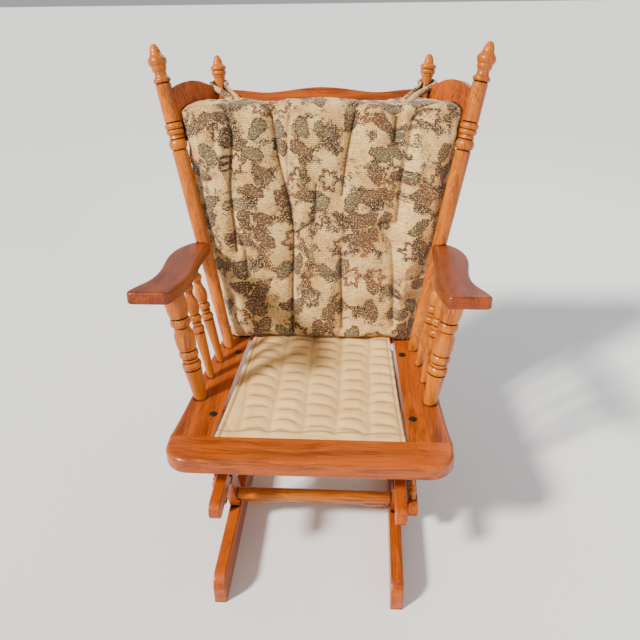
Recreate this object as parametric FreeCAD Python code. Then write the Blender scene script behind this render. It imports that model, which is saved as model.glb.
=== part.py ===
"""Glider nursery chair: turned wooden back and arms on a sprung seat, hung on four links from a wooden base."""
import FreeCAD, Part
import math
import os

os.makedirs("parts", exist_ok=True)
V = FreeCAD.Vector

# ---------------------------------------------------------------- driving dimensions, mm
# X runs to the viewer's right, Y to the back, Z up. Depths are written from a datum on the
# linkage side of the seat, and DEPTH_SHIFT moves that datum so the footprint is centred on Y = 0.
DEPTH_SHIFT = -82.8

SEAT_TOP = 344.0
BOARD = 38.0
SEAT_HALF = 309.0
FRONT_EDGE, FRONT_BACK = -245.0, -165.0
REAR_FRONT, REAR_EDGE = 300.0, 362.0
SIDE_OUTER = [(309, -165), (299, -80), (291, 20), (281, 130), (270, 230), (262, 300)]
SIDE_INNER_FRONT, SIDE_INNER_REAR = 213.0, 190.0

FOOT_X, FOOT_W, FOOT_H = 195.0, 28.0, 70.0
FOOT_FRONT, FOOT_REAR = -319.0, 420.0
RAIL_X, RAIL_W = 199.5, 25.0
RAIL_LOW, RAIL_TOP = 197.0, 239.0
RAIL_FRONT, RAIL_REAR = -273.0, 384.0
UPRIGHT_X, UPRIGHT_W, UPRIGHT_D = 196.0, 22.0, 52.0
UPRIGHT_FRONT = (-67.0, -127.0)
UPRIGHT_REAR = (178.0, 238.0)

CARRIAGE_X, CARRIAGE_W = 236.0, 22.0
CARRIAGE_LOW, CARRIAGE_TOP = 84.0, 120.0
CARRIAGE_FRONT, CARRIAGE_REAR = -130.0, 326.0

# link pivots as (y, z): the front pair and the rear pair lean towards each other going down
PIVOT_UP_FRONT, PIVOT_LOW_FRONT = (-139.0, 218.0), (-105.0, 102.0)
PIVOT_UP_REAR, PIVOT_LOW_REAR = (308.3, 218.0), (300.0, 102.0)
PIN_R, RUNNING, OPEN_PIVOT = 5.0, 0.05, 2.0
LINK_X, LINK_T, LINK_W = 217.0, 5.0, 24.0

POST_LEAN_X, POST_LEAN_Y = 0.207, 0.2212
WING_FOOT, WING_TIP = (240.8, 211.7), 1072.7
BACK_FOOT, BACK_TIP = (200.0, 320.0), 1030.6
BACK_LEAN_X, BACK_LEAN_Y = 0.0917, 0.2213

ARM_FRONT_Y, ARM_FRONT_Z, ARM_FALL, ARM_T = -140.0, 683.0, 0.165, 27.0

SPRING_X = (-129.0, -56.0, 17.0, 90.0, 163.0)
SPRING_Z, WIRE_R, BEND_R, RUNG = 337.0, 1.6, 10.0, 26.0
DECK_LOW, DECK_TOP = 339.3, 342.3

SIDES = (("left", -1), ("right", 1))


# ---------------------------------------------------------------- helpers
def save(name, shape):
    """Writes one named piece as parts/NAME.step, in the centred frame."""
    shape = shape.copy()
    shape.translate(V(0, DEPTH_SHIFT, 0))
    shape.exportStep("parts/" + name + ".step")


def box(x0, x1, y0, y1, z0, z1):
    return Part.makeBox(x1 - x0, y1 - y0, z1 - z0, V(x0, y0, z0))


def fillet(shape, radius, test):
    """Rounds the edges whose middle point passes the test."""
    edges = []
    for edge in shape.Edges:
        middle = edge.valueAt((edge.FirstParameter + edge.LastParameter) / 2)
        if test(middle, edge):
            edges.append(edge)
    return shape.makeFillet(radius, edges)


def prism(points, z0, z1):
    """A straight prism over a plan polygon."""
    wire = Part.makePolygon([V(x, y, z0) for x, y in points] + [V(points[0][0], points[0][1], z0)])
    return Part.Face(wire).extrude(V(0, 0, z1 - z0))


def slab_yz(points, x0, x1):
    """A board whose side view is a polygon of (y, z) points."""
    wire = Part.makePolygon([V(x0, y, z) for y, z in points] + [V(x0, points[0][0], points[0][1])])
    return Part.Face(wire).extrude(V(x1 - x0, 0, 0))


def turned(low, high, profile, sink_low=0.0, sink_high=0.0):
    """A turned piece between two points. The profile lists (distance, radius) or (distance, radius, bulge):
    a bulge swells the line from the entry before it into a bead. The ends run on into their sockets."""
    axis = high.sub(low)
    stretch = axis.Length / profile[-1][0]
    first, last = profile[0], profile[-1]
    path = [(-sink_low, first[1], 0.0)] if sink_low else []
    path += [(p[0] * stretch, p[1], p[2] if len(p) > 2 else 0.0) for p in profile]
    if sink_high:
        path.append((axis.Length + sink_high, last[1], 0.0))
    edges = [Part.makeLine(V(0, 0, path[0][0]), V(path[0][1], 0, path[0][0]))]
    for (s0, r0, _), (s1, r1, bulge) in zip(path, path[1:]):
        a, b = V(r0, 0, s0), V(r1, 0, s1)
        if bulge:
            middle = V((r0 + r1) / 2 + bulge, 0, (s0 + s1) / 2)
            edges.append(Part.Arc(a, middle, b).toShape())
        else:
            edges.append(Part.makeLine(a, b))
    if path[-1][1] > 0:
        edges.append(Part.makeLine(V(path[-1][1], 0, path[-1][0]), V(0, 0, path[-1][0])))
    edges.append(Part.makeLine(V(0, 0, path[-1][0]), V(0, 0, path[0][0])))
    solid = Part.Face(Part.Wire(edges)).revolve(V(0, 0, 0), V(0, 0, 1), 360)
    solid.Placement = FreeCAD.Placement(low, FreeCAD.Rotation(V(0, 0, 1), axis))
    return solid


def rod(x0, x1, y, z, radius):
    return Part.makeCylinder(radius, x1 - x0, V(x0, y, z), V(1, 0, 0))


def mirrored_span(side, inner, outer):
    """The x range of something between two distances from the middle plane."""
    return (inner, outer) if side > 0 else (-outer, -inner)


def wing_axis(side, z):
    rise = z - SEAT_TOP
    return V(side * (WING_FOOT[0] + POST_LEAN_X * rise), WING_FOOT[1] + POST_LEAN_Y * rise, z)


def back_axis(side, z):
    rise = z - SEAT_TOP
    return V(side * (BACK_FOOT[0] + BACK_LEAN_X * rise), BACK_FOOT[1] + BACK_LEAN_Y * rise, z)


# ---------------------------------------------------------------- turning profiles
WING_PROFILE = [
    (0, 13.5), (150, 16.2), (340, 18.6), (490, 19.0), (492.5, 15.8), (494, 18.0), (516, 18.0, 4.6), (517.5, 15.8),
    (519, 18.6), (526.5, 16.0), (528, 18.0), (539.5, 18.2, 3.4), (554, 18.2, 4.0), (555.5, 16.0), (557, 19.0),
    (641, 18.6), (642.5, 15.8), (644, 17.8), (655, 17.4, 3.4), (657, 15.6), (668, 14.4, -0.8), (679, 17.6, 1.6),
    (681, 18.2), (699, 19.6, 3.6), (701, 18.0), (713, 13.0, -1.6), (722, 9.2, 0.4), (728.7, 1.5, 2.2)]

BACK_PROFILE = [
    (0, 12.0), (200, 14.0), (560, 15.0), (600, 14.4), (601.5, 12.6), (612, 13.8, 1.8), (614, 13.6), (634, 13.6, -0.8),
    (637, 15.0), (640, 15.6), (651, 16.2, 2.6), (662, 17.2, 2.8), (663.5, 14.4), (673, 10.8, -1.2), (681, 7.6, 0.4),
    (686.6, 1.5, 1.7)]

ARM_POST_PROFILE = [
    (0, 15.5), (40, 18.0), (78, 20.6), (79.5, 17.6), (81, 20.0), (97, 20.0, 2.8), (98.5, 16.8), (107, 18.6, 1.0),
    (108.5, 16.2), (110, 19.6), (127, 19.6, 2.9), (129, 17.0), (131, 20.4), (155, 23.0, 0.9), (172, 21.6, 0.8),
    (186, 17.6, -0.5), (187.5, 15.8), (189, 20.2), (208, 20.2, 3.2), (210, 17.0), (212, 20.8), (238, 24.4, 0.9),
    (262, 24.0, 0.7), (289, 20.5, 0.4)]

SPINDLE_PROFILE = [
    (0, 8.5), (60, 10.8), (122, 13.4), (123.5, 10.8), (125, 12.6), (139, 12.6, 2.1), (140.5, 10.0), (150, 11.6, 0.8),
    (151.5, 9.6), (153, 12.0), (168, 12.0, 2.4), (170, 9.4), (172, 11.4), (190, 15.0, 0.6), (203, 14.2, 0.6),
    (222, 9.4, -0.8), (224, 8.2), (229, 9.2, 1.4), (231, 11.6), (245, 11.6, 2.4), (247, 9.0), (276, 12.4, 0.6)]

RISER_PROFILE = [
    (0, 7.5), (9, 6.2), (12, 6.6), (31, 6.6, 3.4), (33, 5.6), (36, 6.4), (42, 6.4, 2.2), (45, 5.4), (70, 6.6, 0.4),
    (120, 6.4), (158, 5.8), (161, 6.2), (171, 6.2, 2.2), (175, 5.8), (186, 7.4)]

STRETCHER_LOWER_PROFILE = [
    (0, 8.0), (12, 8.4), (24, 11.4, 0.8), (58, 12.6, 0.6), (68, 9.4, -0.6), (100, 8.4), (185, 8.8), (270, 8.4),
    (302, 9.4), (312, 12.6, -0.6), (346, 11.4, 0.6), (358, 8.4, 0.8), (370, 8.0)]

BACK_SPINDLE_PROFILE = [(0, 6.6), (120, 8.0), (260, 9.4), (400, 8.0), (540, 6.6)]


# ---------------------------------------------------------------- base
stretchers = {
    "stretcher_front_upper": turned(
        V(-185, -97, 118), V(185, -97, 118), [(0, 13.2), (40, 14.6), (185, 15.0), (330, 14.6), (370, 13.2)], 9, 9),
    "stretcher_front_lower": turned(V(-185, -80, 89), V(185, -80, 89), STRETCHER_LOWER_PROFILE, 9, 9),
    "stretcher_rear": turned(
        V(-185, 206, 128), V(185, 206, 128), [(0, 13.2), (40, 14.6), (185, 15.0), (330, 14.6), (370, 13.2)], 9, 9)}
for name, solid in stretchers.items():
    save(name, solid)

upper_pins = []
for word, side in SIDES:
    foot = box(*mirrored_span(side, FOOT_X - FOOT_W / 2, FOOT_X + FOOT_W / 2), FOOT_FRONT, FOOT_REAR, 0, FOOT_H)
    foot = fillet(foot, 34, lambda m, e: m.z > FOOT_H - 1 and (m.y < FOOT_FRONT + 1 or m.y > FOOT_REAR - 1))
    foot = fillet(foot, 4, lambda m, e: (m.z > FOOT_H - 1 and abs(m.y - 50) < 250)
                  or (e.Vertexes[0].Z < FOOT_H - 1 and m.z > 1 and abs(m.y - 50) > 360))
    save("foot_" + word, foot)

    span = mirrored_span(side, UPRIGHT_X - UPRIGHT_W / 2, UPRIGHT_X + UPRIGHT_W / 2)
    for where, (low_y, top_y) in (("front", UPRIGHT_FRONT), ("rear", UPRIGHT_REAR)):
        half = UPRIGHT_D / 2
        upright = slab_yz(
            [(low_y - half, FOOT_H), (low_y + half, FOOT_H), (top_y + half, RAIL_LOW), (top_y - half, RAIL_LOW)], *span)
        for solid in stretchers.values():
            upright = upright.cut(solid)
        save("upright_%s_%s" % (where, word), upright)

    inner, outer = RAIL_X - RAIL_W / 2, RAIL_X + RAIL_W / 2
    rail = box(*mirrored_span(side, inner, outer), RAIL_FRONT, RAIL_REAR, RAIL_LOW, RAIL_TOP)
    rail = fillet(rail, 20, lambda m, e: m.y < RAIL_FRONT + 1 and abs(e.tangentAt(e.FirstParameter).x) > 0.9)
    rail = fillet(rail, 20, lambda m, e: m.y > RAIL_REAR - 1 and abs(e.tangentAt(e.FirstParameter).x) > 0.9)
    rail = fillet(rail, 3, lambda m, e: m.z > RAIL_TOP - 1 and abs(m.y - 50) < 250)
    for y, z in (PIVOT_UP_FRONT, PIVOT_UP_REAR):
        pin = rod(*mirrored_span(side, inner, 219.9), y, z, PIN_R)
        nut = rod(*mirrored_span(side, inner - 5, inner), y, z, 9)
        head = rod(*mirrored_span(side, 219.9, 221.9), y, z, 8.5)
        rail = rail.cut(pin)
        upper_pins.append(nut.fuse(pin).fuse(head).removeSplitter())
    save("base_rail_" + word, rail)
save("upper_pivot_bolts", Part.makeCompound(upper_pins))


# ---------------------------------------------------------------- links
def link(side, upper, lower, low_play):
    """A flat strap with an eye at each end. The eyes have short hubs that space the strap off the wood."""
    (yu, zu), (yl, zl) = upper, lower
    length = math.hypot(yl - yu, zl - zu)
    inner, outer = LINK_X - LINK_T / 2, LINK_X + LINK_T / 2
    x0, x1 = mirrored_span(side, inner, outer)
    strap = Part.makeBox(x1 - x0, LINK_W - 6, length, V(x0, -(LINK_W - 6) / 2, 0))
    tilt = math.degrees(math.atan2(yu - yl, zu - zl))
    strap.rotate(V(0, 0, 0), V(1, 0, 0), -tilt)
    strap.translate(V(0, yl, zl))
    body = strap.fuse(rod(x0, x1, yu, zu, LINK_W / 2)).fuse(rod(x0, x1, yl, zl, LINK_W / 2))
    body = body.fuse(rod(*mirrored_span(side, 212.5, outer), yu, zu, 9.5))
    body = body.fuse(rod(*mirrored_span(side, inner, 224.5), yl, zl, 10.5))
    body = body.cut(rod(x0 - 20, x1 + 20, yu, zu, PIN_R + RUNNING))
    body = body.cut(rod(x0 - 20, x1 + 20, yl, zl, PIN_R + low_play))
    return body.removeSplitter()


for word, side in SIDES:
    save("link_front_" + word, link(side, PIVOT_UP_FRONT, PIVOT_LOW_FRONT, RUNNING))
    save("link_rear_" + word, link(side, PIVOT_UP_REAR, PIVOT_LOW_REAR, OPEN_PIVOT))


# ---------------------------------------------------------------- carriage: rails hung on the links, posts up to the seat
RISERS = {
    "front": (V(236, -100, CARRIAGE_TOP), V(226, -85, SEAT_TOP - BOARD)),
    "rear": (V(236, 226, CARRIAGE_TOP), V(212, 182, SEAT_TOP - BOARD))}
BOLT_R, BOLT_DEPTH = 3.0, 62.0

lower_pins, seat_bolts, risers = [], [], {}
for word, side in SIDES:
    for where, (low, high) in RISERS.items():
        low, high = V(side * low.x, low.y, low.z), V(side * high.x, high.y, high.z)
        riser = turned(low, high, RISER_PROFILE, 10, 12)
        shank = Part.makeCylinder(BOLT_R, BOLT_DEPTH, V(high.x, high.y, SEAT_TOP), V(0, 0, -1))
        dome = turned(V(high.x, high.y, SEAT_TOP), V(high.x, high.y, SEAT_TOP + 4.5), [(0, 9.0), (1.2, 9.0), (4.5, 1.5, 1.4)])
        seat_bolts.append(dome.fuse(shank))
        risers[where, word] = riser.cut(shank)
        save("riser_%s_%s" % (where, word), risers[where, word])

    inner, outer = CARRIAGE_X - CARRIAGE_W / 2, CARRIAGE_X + CARRIAGE_W / 2
    rail = box(*mirrored_span(side, inner, outer), CARRIAGE_FRONT, CARRIAGE_REAR, CARRIAGE_LOW, CARRIAGE_TOP)
    rail = fillet(rail, 16, lambda m, e: (m.y < CARRIAGE_FRONT + 1 or m.y > CARRIAGE_REAR - 1)
                  and abs(e.tangentAt(e.FirstParameter).x) > 0.9)
    for y, z in (PIVOT_LOW_FRONT, PIVOT_LOW_REAR):
        pin = rod(*mirrored_span(side, 213.6, outer), y, z, PIN_R)
        head = rod(*mirrored_span(side, 211.2, 213.6), y, z, 8.5)
        nut = rod(*mirrored_span(side, outer - 4, outer), y, z, 8)
        rail = rail.cut(pin).cut(nut)
        lower_pins.append(head.fuse(pin).fuse(nut).removeSplitter())
    for where in RISERS:
        rail = rail.cut(risers[where, word])
    save("carriage_rail_" + word, rail)
save("lower_pivot_bolts", Part.makeCompound(lower_pins))
save("seat_bolts", Part.makeCompound(seat_bolts))


# ---------------------------------------------------------------- arm supports and posts
ARM_SUPPORTS = {
    "arm_post": (V(268.5, -21, SEAT_TOP), V(310, -5, 634), ARM_POST_PROFILE),
    "arm_spindle_mid": (V(259.5, 64, SEAT_TOP), V(303, 84, 620), SPINDLE_PROFILE),
    "arm_spindle_rear": (V(249.5, 137, SEAT_TOP), V(302, 160, 607), SPINDLE_PROFILE)}

posts = {}
for word, side in SIDES:
    for name, (low, high, profile) in ARM_SUPPORTS.items():
        low, high = V(side * low.x, low.y, low.z), V(side * high.x, high.y, high.z)
        posts[name, word] = turned(low, high, profile, 14, 14)
    posts["wing_post", word] = turned(wing_axis(side, SEAT_TOP), wing_axis(side, WING_TIP), WING_PROFILE, 18)
    posts["back_post", word] = turned(back_axis(side, SEAT_TOP), back_axis(side, BACK_TIP), BACK_PROFILE, 18)
for (name, word), solid in posts.items():
    save(name + "_" + word, solid)


# ---------------------------------------------------------------- seat frame
front = box(-SEAT_HALF, SEAT_HALF, FRONT_EDGE, FRONT_BACK, SEAT_TOP - BOARD, SEAT_TOP)
front = fillet(front, 56, lambda m, e: m.y < FRONT_EDGE + 1 and abs(m.x) > SEAT_HALF - 1)
front = fillet(front, 11, lambda m, e: m.z > SEAT_TOP - 1 and m.y < FRONT_BACK - 1)
front = fillet(front, 6, lambda m, e: m.z < SEAT_TOP - BOARD + 1 and m.y < FRONT_BACK - 1)

rear = prism([(-262, REAR_FRONT), (262, REAR_FRONT), (256, REAR_EDGE), (-256, REAR_EDGE)], SEAT_TOP - BOARD, SEAT_TOP)
rear = fillet(rear, 40, lambda m, e: m.y > REAR_EDGE - 1 and abs(m.x) > 250)
rear = fillet(rear, 8, lambda m, e: m.z > SEAT_TOP - 1 and m.y > REAR_FRONT + 1)

back_spindles = []
for n in range(5):
    x = 62.0 * (n - 2)
    back_spindles.append(turned(V(x, 336, SEAT_TOP), V(x * 1.16, 443, 866), BACK_SPINDLE_PROFILE, 14, 12))
    rear = rear.cut(back_spindles[-1])
    save("back_spindle_%d" % (n + 1), back_spindles[-1])

for word, side in SIDES:
    curve = Part.BSplineCurve()
    curve.interpolate([V(side * x, y, SEAT_TOP - BOARD) for x, y in SIDE_OUTER])
    corners = [V(side * x, y, SEAT_TOP - BOARD) for x, y in (
        SIDE_OUTER[-1], (SIDE_INNER_REAR, REAR_FRONT), (SIDE_INNER_FRONT, FRONT_BACK), SIDE_OUTER[0])]
    outline = Part.Wire([curve.toShape()] + [Part.makeLine(a, b) for a, b in zip(corners, corners[1:])])
    board = Part.Face(outline).extrude(V(0, 0, BOARD))
    board = fillet(board, 9, lambda m, e: m.z > SEAT_TOP - 1 and abs(m.x) > 275)
    board = fillet(board, 5, lambda m, e: m.z < SEAT_TOP - BOARD + 1 and abs(m.x) > 275)
    for name in ("arm_post", "arm_spindle_mid", "arm_spindle_rear", "wing_post"):
        board = board.cut(posts[name, word])
    for where in RISERS:
        board = board.cut(risers[where, word])
    for solid in seat_bolts:
        board = board.cut(solid)
    save("seat_side_" + word, board)
    rear = rear.cut(posts["back_post", word])
save("seat_front", front)
save("seat_rear", rear)


# ---------------------------------------------------------------- sprung deck
def zigzag(x):
    """One sinuous wire spring, running from the front board to the rear board."""
    edges, y, side = [], FRONT_BACK + 5.0, -1
    rungs = int((REAR_FRONT - FRONT_BACK - 10.0) / (2 * BEND_R)) + 1
    for n in range(rungs):
        a, b = V(x + side * RUNG / 2, y, SPRING_Z), V(x - side * RUNG / 2, y, SPRING_Z)
        edges.append(Part.makeLine(a, b))
        if n < rungs - 1:
            middle = V(b.x - side * BEND_R, y + BEND_R, SPRING_Z)
            edges.append(Part.Arc(b, middle, V(b.x, y + 2 * BEND_R, SPRING_Z)).toShape())
        y += 2 * BEND_R
        side = -side
    ring = Part.Wire(Part.makeCircle(WIRE_R, V(x - RUNG / 2, FRONT_BACK + 5.0, SPRING_Z), V(1, 0, 0)))
    return Part.Wire(edges).makePipeShell([ring], True, True), y - 2 * BEND_R


clips = []
for n, x in enumerate(SPRING_X):
    spring, last_y = zigzag(x)
    save("spring_%d" % (n + 1), spring)
    clips.append(box(x - 9, x + 9, FRONT_BACK, FRONT_BACK + 9, SPRING_Z - 5, DECK_LOW).cut(spring))
    clips.append(box(x - 9, x + 9, last_y - 4, REAR_FRONT, SPRING_Z - 5, DECK_LOW).cut(spring))
save("spring_clips", Part.makeCompound(clips))

deck = prism([(-SIDE_INNER_FRONT + 3, FRONT_BACK), (SIDE_INNER_FRONT - 3, FRONT_BACK),
              (SIDE_INNER_REAR - 3, REAR_FRONT), (-SIDE_INNER_REAR + 3, REAR_FRONT)], DECK_LOW, DECK_TOP)
save("deck_fabric", deck)


# ---------------------------------------------------------------- arms
ARM_OUTER = [(364, -140), (357, -104), (342, -58), (337, -12), (341, 52), (350, 124), (350, 182), (341, 226), (324, 262)]
ARM_INNER = [(278, 262), (276, 205), (273, 140), (268, 80), (262, 20), (261, -40), (268, -96), (276, -140)]
fall = math.atan(ARM_FALL)
for word, side in SIDES:
    edges = []
    for row in (ARM_OUTER, ARM_INNER):
        curve = Part.BSplineCurve()
        curve.interpolate([V(side * x, (y - ARM_FRONT_Y) / math.cos(fall), 0) for x, y in row])
        edges.append(curve.toShape())
    ends = [(edges[0].Vertexes[-1].Point, edges[1].Vertexes[0].Point),
            (edges[1].Vertexes[-1].Point, edges[0].Vertexes[0].Point)]
    outline = Part.Wire([edges[0], Part.makeLine(*ends[0]), edges[1], Part.makeLine(*ends[1])])
    arm = Part.Face(outline).extrude(V(0, 0, -ARM_T))
    arm = fillet(arm, 12, lambda m, e: abs(e.tangentAt(e.FirstParameter).z) > 0.9 and m.y < 20)
    arm = fillet(arm, 7, lambda m, e: m.z > -0.5 and m.y < 380)
    arm = fillet(arm, 5, lambda m, e: m.z < -ARM_T + 0.5 and m.y < 380)
    arm.rotate(V(0, 0, 0), V(1, 0, 0), -math.degrees(fall))
    arm.translate(V(0, ARM_FRONT_Y, ARM_FRONT_Z))
    for name in ("arm_post", "arm_spindle_mid", "arm_spindle_rear", "wing_post"):
        arm = arm.cut(posts[name, word])
    save("arm_" + word, arm)


# ---------------------------------------------------------------- crest rail and wing crests
def board_between(a, b, up, thick, top, low):
    """A board whose long edges run from a to b: top and low are heights along the sloping direction up, and top is a
    list of (share of the span, height) points of a smooth curve."""
    run = b.sub(a)
    across = run.cross(up).normalize()
    curve = Part.BSplineCurve()
    curve.interpolate([a.add(run * t).add(up * h) for t, h in top])
    corners = [curve.EndPoint, a.add(run * top[-1][0]).add(up * low), a.add(run * top[0][0]).add(up * low), curve.StartPoint]
    wire = Part.Wire([curve.toShape()] + [Part.makeLine(p, q) for p, q in zip(corners, corners[1:])])
    return Part.Face(wire).translated(across * (-thick / 2)).extrude(across * thick)


up = V(0, BACK_LEAN_Y, 1)
crest_base = 866.0
crest = board_between(
    back_axis(-1, crest_base), back_axis(1, crest_base), up, 22,
    [(0.0, 84), (0.10, 83), (0.22, 78), (0.35, 84), (0.5, 90), (0.65, 84), (0.78, 78), (0.90, 83), (1.0, 84)], -10)
for solid in back_spindles + [posts["back_post", "left"], posts["back_post", "right"]]:
    crest = crest.cut(solid)
crest = max(crest.Solids, key=lambda s: s.Volume)
save("crest_rail", crest)

wings = {}
for word, side in SIDES:
    a, b = wing_axis(side, crest_base), back_axis(side, crest_base)
    lean = V(side * (POST_LEAN_X + BACK_LEAN_X) / 2, POST_LEAN_Y, 1)
    wing = board_between(a, b, lean, 20, [(0.0, 98), (0.15, 110), (0.35, 117), (0.6, 112), (0.85, 94), (1.0, 84)], -14)
    wing = wing.cut(posts["wing_post", word]).cut(posts["back_post", word])
    wings[word] = max(wing.Solids, key=lambda s: s.Volume)
    save("wing_crest_" + word, wings[word])


# ---------------------------------------------------------------- back cushion and its ties
CUSHION_LOW, CUSHION_MID, CUSHION_TOP, CUSHION_CORNER = SEAT_TOP + 0.3, 632.0, 940.0, 42.0
LOW_HALF = [(0, 250), (150, 250), (200, 240), (225, 243), (231, 262), (214, 290), (182, 304), (0, 320)]
MID_HALF = [(0, 301), (170, 299), (250, 278), (277, 283), (303, 309), (290, 334), (206, 364), (0, 378)]
TOP_HALF = [(0, 351), (190, 349), (291, 313), (319, 317), (333, 345), (311, 366), (222, 419), (0, 430)]


def closed_section(half, z):
    points = [(x, y) for x, y in half] + [(-x, y) for x, y in reversed(half) if x]
    points = [V(x, y, z) for x, y in points]
    return Part.makePolygon(points + [points[0]])


cushion = Part.makeLoft([closed_section(LOW_HALF, CUSHION_LOW), closed_section(MID_HALF, CUSHION_MID),
                         closed_section(TOP_HALF, CUSHION_TOP)], True, True)
corner = box(-333, 333, 200, 460, CUSHION_LOW, CUSHION_TOP)
corner = fillet(corner, CUSHION_CORNER, lambda m, e: m.z > CUSHION_TOP - 1 and abs(m.x) > 332)
cushion = cushion.common(corner)
for word, side in SIDES:
    for shift in (V(0, 0, 0), V(0, -1, 0), V(-side, 0, 0)):
        cushion = cushion.cut(wings[word].translated(shift))
cushion = max(cushion.Solids, key=lambda s: s.Volume)
save("back_cushion", cushion)

for word, side in SIDES:
    centre = back_axis(side, 959)
    axis = V(side * BACK_LEAN_X, BACK_LEAN_Y, 1).normalize()
    band = Part.makeCylinder(17.6, 9, centre, axis)
    knot = V(side * 246, 398, CUSHION_TOP + 1.2)
    legs = []
    for turn in (-1, 1):
        start = centre.add(V(turn * 15.5, -6, 3))
        run = knot.sub(start)
        leg = Part.makeBox(3, 11, run.Length, V(-1.5, -5.5, 0))
        leg.Placement = FreeCAD.Placement(start, FreeCAD.Rotation(V(0, 0, 1), run))
        legs.append(leg)
    tie = band.fuse(legs[0]).fuse(legs[1])
    tie = tie.cut(Part.makeCylinder(14.2, 60, centre.sub(axis * 25), axis)).cut(posts["back_post", word])
    for shift in (V(0, 0, 0), V(0, 0, 0.6), V(0, -0.6, 0)):
        tie = tie.cut(wings[word].translated(shift))
    tie = tie.common(box(-400, 400, 0, 600, CUSHION_TOP + 0.3, 1100))
    tie = max(tie.Solids, key=lambda s: s.Volume)
    save("cushion_tie_" + word, tie)
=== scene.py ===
# %% [markdown]
# # Glider nursery chair
# The chair is turned and sawn maple with a honey stain: a fixed base, a seat that hangs on four steel
# links, turned posts, a sprung canvas deck and a tied tapestry back cushion. The hard pieces come from
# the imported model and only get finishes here. The soft pieces (deck canvas, back cushion, its ties) are
# made here, because a sewn and stuffed thing has creases and swelling that a solid does not.
#
# Everything is in metres: +Z is up, +X is to the viewer's right and the front of the chair faces -Y.

# %% Load the frame
import bpy
import bmesh
import math
from mathutils import Matrix, Vector, noise


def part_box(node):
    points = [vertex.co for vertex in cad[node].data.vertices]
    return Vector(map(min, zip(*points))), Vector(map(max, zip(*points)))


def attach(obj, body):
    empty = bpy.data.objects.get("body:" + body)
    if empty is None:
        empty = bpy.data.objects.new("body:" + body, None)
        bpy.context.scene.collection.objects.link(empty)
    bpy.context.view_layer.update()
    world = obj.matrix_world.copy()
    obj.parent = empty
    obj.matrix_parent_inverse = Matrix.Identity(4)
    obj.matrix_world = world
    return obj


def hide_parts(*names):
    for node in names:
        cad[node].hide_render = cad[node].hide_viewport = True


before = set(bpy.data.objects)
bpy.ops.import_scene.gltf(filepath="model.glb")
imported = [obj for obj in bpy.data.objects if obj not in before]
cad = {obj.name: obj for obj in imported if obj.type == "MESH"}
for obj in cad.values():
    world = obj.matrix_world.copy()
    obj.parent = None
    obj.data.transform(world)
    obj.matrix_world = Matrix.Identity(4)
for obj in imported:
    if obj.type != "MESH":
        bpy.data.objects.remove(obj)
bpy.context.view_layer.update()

scene = bpy.context.scene

# %% [markdown]
# ## Camera
# A product view from a standing person's eye: about 1.3 m up, 1.5 m in front and looking down by 30
# degrees. A camera could be aimed with a Track To constraint. Here the three angles are turned into a
# matrix, which also gives the slight roll, and the 40 mm lens sets the perspective.

# %% Camera
YAW, PITCH, ROLL = -0.0734, 0.5168, -0.0200
EYE = (0.1167, -1.4522, 1.3274)
LENS_MM, SENSOR_MM = 40.0, 36
ahead = Vector((math.sin(YAW) * math.cos(PITCH), math.cos(YAW) * math.cos(PITCH), -math.sin(PITCH)))
level = Vector((math.cos(YAW), -math.sin(YAW), 0))
above = level.cross(ahead)
right = level * math.cos(ROLL) + above * math.sin(ROLL)
above = -level * math.sin(ROLL) + above * math.cos(ROLL)
camera = bpy.data.objects.new("camera", bpy.data.cameras.new("camera"))
scene.collection.objects.link(camera)
placed = Matrix((right, above, -ahead)).transposed().to_4x4()
placed.translation = Vector(EYE)
camera.matrix_world = placed
camera.data.sensor_width, camera.data.lens = SENSOR_MM, LENS_MM
scene.camera = camera
print("camera at", [round(v, 3) for v in camera.location], "lens", camera.data.lens)

# %% [markdown]
# ## Colours
# Paint and dye colours are usually written as sRGB hex, the way a picture editor shows them, but a
# shader works in linear light. One function turns one into the other, so every colour below can stay
# in the form that is easy to read.

# %% Colours
def linear(hex_code):
    """An sRGB hex colour as the linear colour of a shader socket."""
    parts = [int(hex_code[i:i + 2], 16) / 255 for i in (0, 2, 4)]
    return tuple(p / 12.92 if p <= 0.04045 else ((p + 0.055) / 1.055) ** 2.4 for p in parts) + (1.0,)


print("honey stain in linear light", [round(c, 3) for c in linear("C8702B")])

# %% [markdown]
# ## One helper for nodes
# Nodes can be placed by hand in the editor. In a script one small function that adds a node, with its
# settings and with what goes into its sockets, keeps every finish short to read. SMOOTH makes a Map
# Range node ease in and out, where its sockets 1 to 4 are: from, to, first result, last result. COLOUR
# makes a Mix node mix two colours, its sockets 6 and 7, by its socket 0.

# %% Node helper
SMOOTH = {"interpolation_type": "SMOOTHSTEP"}
COLOUR = {"data_type": "RGBA"}


def add(tree, kind, feeds=(), **settings):
    """Adds a node. feeds is {socket: the output it reads, or its number or colour}."""
    made = tree.nodes.new("ShaderNode" + kind)
    for name, value in settings.items():
        setattr(made, name, value)
    for socket, fed in dict(feeds).items():
        if isinstance(fed, bpy.types.NodeSocket):
            tree.links.new(fed, made.inputs[socket])
        else:
            made.inputs[socket].default_value = fed
    return made


def start_finish(name, **constants):
    """A new material with its shader. Constants go straight on the shader's own sockets."""
    material = bpy.data.materials.new(name)
    material.use_nodes = True
    tree = material.node_tree
    tree.nodes.clear()
    shader = add(tree, "BsdfPrincipled", {k.replace("_", " "): v for k, v in constants.items()})
    add(tree, "OutputMaterial", {"Surface": shader.outputs[0]})
    return material, tree, shader


print("sockets of a Map Range node are fed in the order: value, from, to, first, last")

# %% [markdown]
# ## Grain of the maple
# Maple has fine, pale, nearly straight grain. A wood image would repeat and can't run along each board,
# so the fibres are noise stretched along the grain and bent a little: streaks about 3 mm wide and 90 mm
# long, bands of slower growth 22 mm wide, and pores under 1 mm wide and 9 mm long.

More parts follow.
